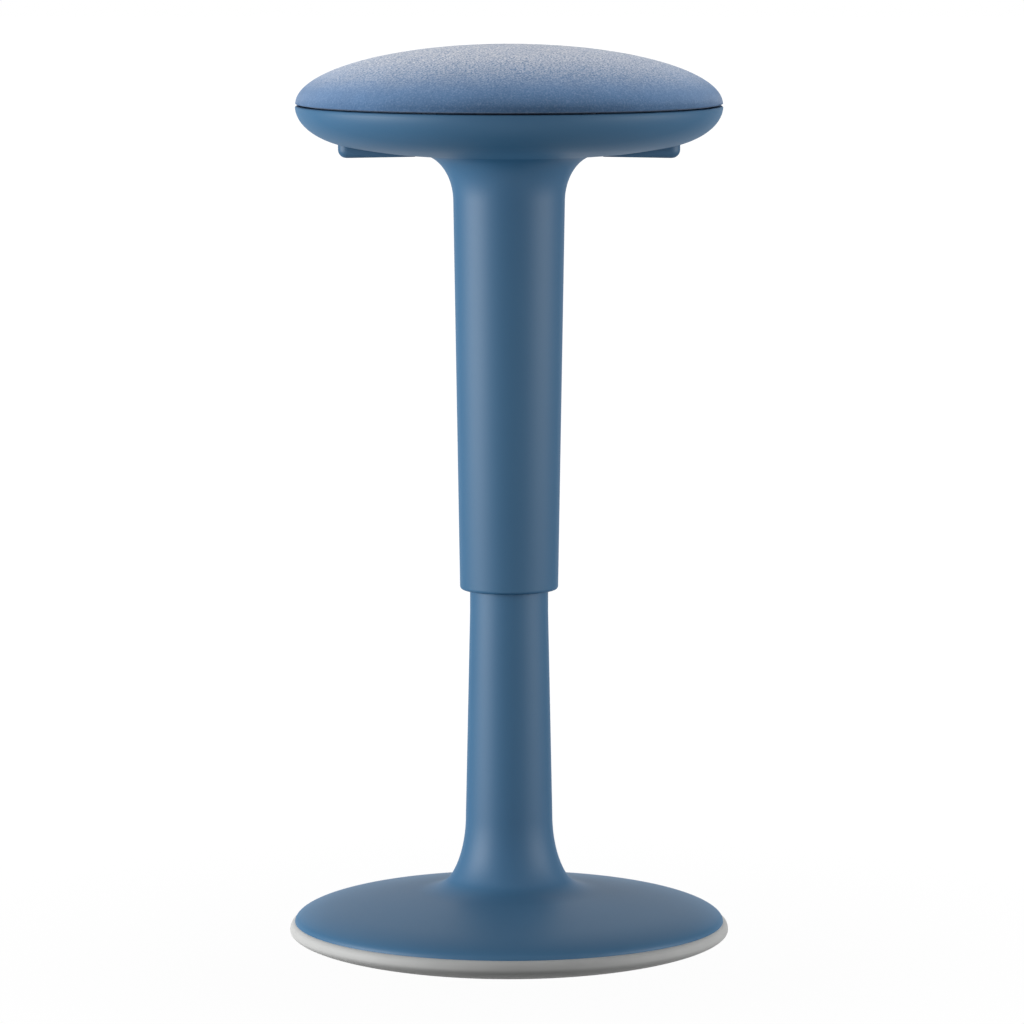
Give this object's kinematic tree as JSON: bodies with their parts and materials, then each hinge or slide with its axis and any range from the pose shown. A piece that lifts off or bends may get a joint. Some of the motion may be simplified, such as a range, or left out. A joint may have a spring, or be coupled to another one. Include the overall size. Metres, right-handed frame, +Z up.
{
  "type": "wobble stool",
  "caption": "Height-adjustable wobble stool: round padded swivel seat on a telescopic column, two release grips under the seat and a domed base with a convex rubber sole to rock on.",
  "frame": {"origin": "on the floor, under the middle of the sole", "axes": "+Z up along the column, +X through the right release grip as the picture shows the stool from -Y"},
  "size_m": [0.3744, 0.3744, 0.7824],
  "materials": {
    "blue_plastic": "fine moulded satin, blue",
    "grey_rubber": "light grey moulded rubber",
    "dark_plastic": "dark grey moulded plastic",
    "cast_iron": "painted iron casting",
    "black_steel": "black coated steel",
    "bright_steel": "ground and polished steel",
    "white_acetal": "natural acetal",
    "black_rubber": "black rubber",
    "zinc_steel": "zinc plated steel",
    "plywood": "raw birch plywood",
    "foam": "moulded polyurethane foam",
    "blue_felt": "felted wool cloth, blue-grey"
  },
  "bodies": {
    "base": {"grip_pad": "grey_rubber", "tread_ring": "grey_rubber", "bottom_cover": "dark_plastic", "counterweight": "cast_iron", "base_shell": "blue_plastic", "stand_tube": "black_steel", "guide_bush": "white_acetal", "column_cap": "dark_plastic", "bearing_lower_race": "bright_steel", "bearing_ball_cage": "bright_steel", "cover_screw_1": "zinc_steel", "cover_screw_2": "zinc_steel", "cover_screw_3": "zinc_steel", "cover_screw_4": "zinc_steel", "cover_screw_5": "zinc_steel"},
    "lift_rod": {"piston_rod": "bright_steel", "piston": "zinc_steel", "rod_clip": "zinc_steel", "bearing_upper_race": "bright_steel", "rod_buffer": "black_rubber"},
    "seat": {"gas_cylinder": "black_steel", "rod_gland": "zinc_steel", "taper_socket": "black_steel", "seat_pan": "black_steel", "upper_sleeve": "blue_plastic", "seat_shell": "blue_plastic", "seat_board": "plywood", "foam_pad": "foam", "seat_cover": "blue_felt", "flange_screw_1": "zinc_steel", "flange_screw_2": "zinc_steel", "flange_screw_3": "zinc_steel", "flange_screw_4": "zinc_steel", "board_screw_1": "zinc_steel", "board_screw_2": "zinc_steel", "board_screw_3": "zinc_steel", "board_screw_4": "zinc_steel", "tee_nut_1": "zinc_steel", "tee_nut_2": "zinc_steel", "tee_nut_3": "zinc_steel", "tee_nut_4": "zinc_steel", "pivot_bracket_right": "black_steel", "pivot_pin_right": "bright_steel", "pivot_bracket_left": "black_steel", "pivot_pin_left": "bright_steel"},
    "right_lever": {"lever_arm_right": "black_steel", "lever_grip_right": "blue_plastic", "grip_screw_right": "zinc_steel"},
    "left_lever": {"lever_arm_left": "black_steel", "lever_grip_left": "blue_plastic", "grip_screw_left": "zinc_steel"},
    "release": {"release_pin": "white_acetal"}
  },
  "joints": [
    {"name": "seat_swivel", "type": "hinge", "parent": "base", "child": "lift_rod", "pos_m": [0, 0, 0.029], "axis": [0, 0, 1], "continuous": true},
    {"name": "height_slide", "type": "slide", "parent": "lift_rod", "child": "seat", "axis": [0, 0, 1], "range_m": [-0.2, 0]},
    {"name": "left_lever_lift", "type": "hinge", "parent": "seat", "child": "left_lever", "pos_m": [-0.03, 0, 0.723], "axis": [0, 1, 0], "range_deg": [0, 6], "stiffness_Nm_per_rad": 20, "springref_deg": -1.72},
    {"name": "right_lever_lift", "type": "hinge", "parent": "seat", "child": "right_lever", "pos_m": [0.03, 0, 0.723], "axis": [0, -1, 0], "range_deg": [0, 6]},
    {"name": "release_pin_press", "type": "slide", "parent": "seat", "child": "release", "axis": [0, 0, -1], "range_m": [0, 0.00315]}
  ],
  "couplings": [
    {"joint": "right_lever_lift", "follows": "left_lever_lift", "ratio": 1},
    {"joint": "release_pin_press", "follows": "left_lever_lift", "m_per_rad": 0.03}
  ]
}
